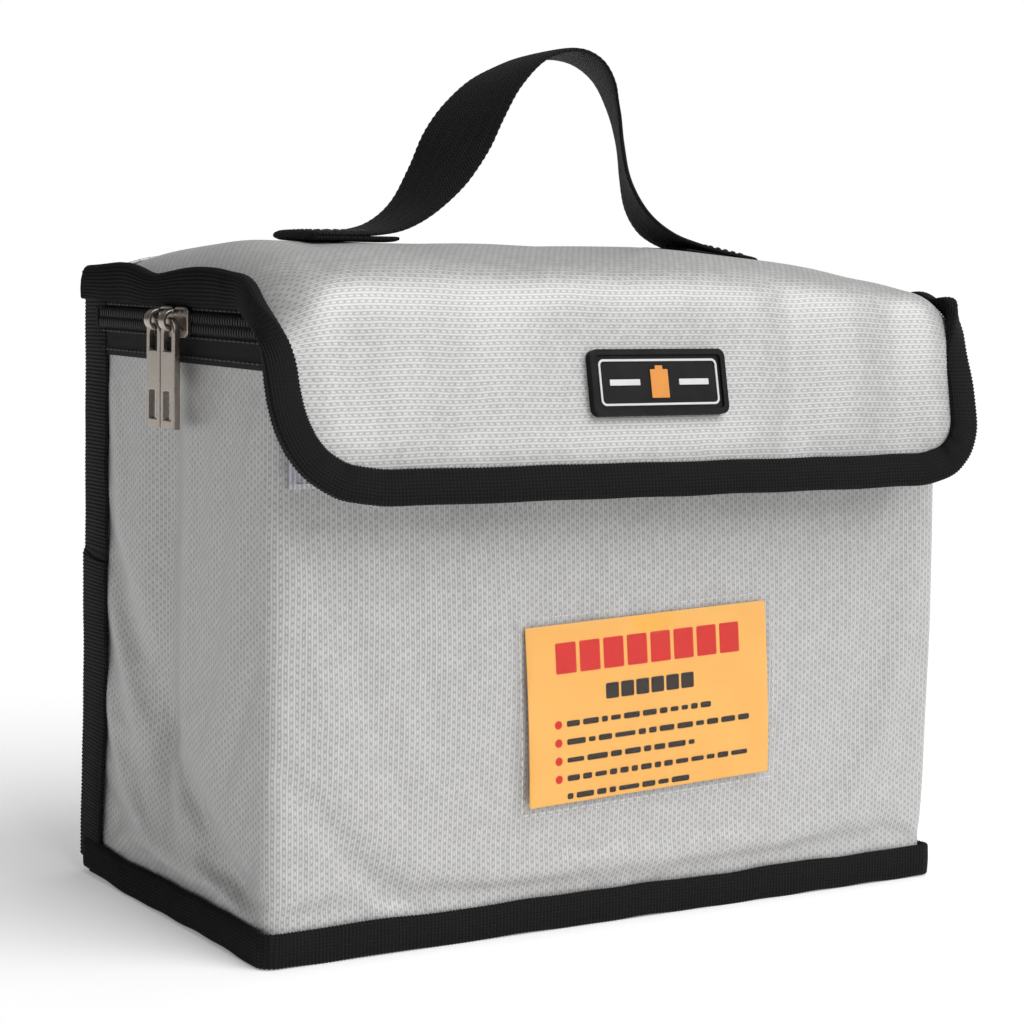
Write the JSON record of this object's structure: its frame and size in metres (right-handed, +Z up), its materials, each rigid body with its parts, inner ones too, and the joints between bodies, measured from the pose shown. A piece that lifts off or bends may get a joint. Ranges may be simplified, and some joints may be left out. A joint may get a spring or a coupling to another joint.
{
  "type": "lipo safe bag",
  "caption": "Padded fire-resistant box bag for batteries, with a zipped lid, a hook-and-loop front flap, a webbing handle and a clear card pocket.",
  "frame": {"origin": "centre of the base's flat underside", "axes": "+Z up; -Y is the front, with the flap and the card pocket; the zip pulls are on the -X side"},
  "size_m": [0.2284, 0.1356, 0.2399],
  "materials": {
    "silver_cloth": "silver coated woven glass cloth, fine ribbed, semi-gloss sheen",
    "grey_lining": "plain woven lining, matt",
    "white_felt": "needled fire-resistant felt, matt",
    "black_tape": "black ribbed grosgrain binding tape, matt",
    "black_webbing": "black herringbone webbing, matt",
    "zip_tape": "black woven zip tape, matt",
    "zip_coil": "black moulded nylon coil, satin",
    "loop_strip": "pale hook-and-loop pile, matt",
    "clear_vinyl": "clear soft vinyl, glossy",
    "card_yellow": "printed orange-yellow card, satin",
    "print_red": "red ink, satin",
    "print_dark": "dark ink, satin",
    "badge_rubber": "moulded soft black rubber, satin",
    "badge_white": "white moulded rubber, satin",
    "badge_amber": "amber moulded rubber, satin",
    "gunmetal": "brushed gunmetal plating, semi-gloss"
  },
  "bodies": {
    "shell": {"outer_wrap": "silver_cloth", "back_panel": "silver_cloth", "base_panel": "silver_cloth", "base_felt": "white_felt", "front_felt": "white_felt", "back_felt": "white_felt", "left_felt": "white_felt", "right_felt": "white_felt", "inner_lining": "grey_lining", "base_binding": "black_tape", "back_left_binding": "black_tape", "back_right_binding": "black_tape", "lower_zip_tape": "zip_tape", "lower_zip_coil": "zip_coil", "zip_stop_left": "zip_tape", "zip_stop_right": "zip_tape", "front_loop_strip": "loop_strip", "window_pocket": "clear_vinyl"},
    "card": {"info_card": "card_yellow", "card_red_print": "print_red", "card_dark_print": "print_dark"},
    "lid": {"lid_panel": "silver_cloth", "lid_felt": "white_felt", "lid_lining": "grey_lining", "lid_left_binding": "black_tape", "lid_right_binding": "black_tape", "upper_zip_tape": "zip_tape", "upper_zip_coil": "zip_coil", "handle_end_left": "black_webbing", "handle_end_right": "black_webbing"},
    "handle": {"handle_loop": "black_webbing"},
    "flap": {"flap_panel": "silver_cloth", "flap_lining": "grey_lining", "flap_binding": "black_tape", "flap_hook_strip": "loop_strip", "badge": "badge_rubber", "badge_border": "badge_white", "badge_emblem": "badge_amber", "badge_bars": "badge_white"},
    "slider_front": {"slider_front": "gunmetal", "bail_front": "gunmetal"},
    "slider_rear": {"slider_rear": "gunmetal", "bail_rear": "gunmetal"},
    "pull_front": {"pull_front": "gunmetal"},
    "pull_rear": {"pull_rear": "gunmetal"}
  },
  "joints": [
    {"name": "lid_hinge", "type": "hinge", "parent": "shell", "child": "lid", "pos_m": [0, 0.0585, 0.171], "axis": [-1, 0, 0], "range_deg": [0, 110]},
    {"name": "flap_hinge", "type": "hinge", "parent": "lid", "child": "flap", "pos_m": [0, -0.061, 0.171], "axis": [-1, 0, 0], "range_deg": [-12, 150]},
    {"name": "handle_swing", "type": "hinge", "parent": "lid", "child": "handle", "pos_m": [0.005, 0, 0.185], "axis": [1, 0, 0], "range_deg": [-40, 40]},
    {"name": "slider_front_slide", "type": "slide", "parent": "shell", "child": "slider_front", "axis": [0, -1, 0], "range_m": [0, 0.027]},
    {"name": "slider_rear_slide", "type": "slide", "parent": "shell", "child": "slider_rear", "axis": [0, 1, 0], "range_m": [0, 0.042]},
    {"name": "pull_front_swing", "type": "hinge", "parent": "slider_front", "child": "pull_front", "pos_m": [-0.113, -0.0112, 0.161], "axis": [0, 1, 0], "range_deg": [0, 150]},
    {"name": "pull_rear_swing", "type": "hinge", "parent": "slider_rear", "child": "pull_rear", "pos_m": [-0.113, -0.002, 0.161], "axis": [0, 1, 0], "range_deg": [0, 150]},
    {"name": "card_slide", "type": "slide", "parent": "shell", "child": "card", "axis": [0, 0, 1], "range_m": [0, 0.03]}
  ]
}
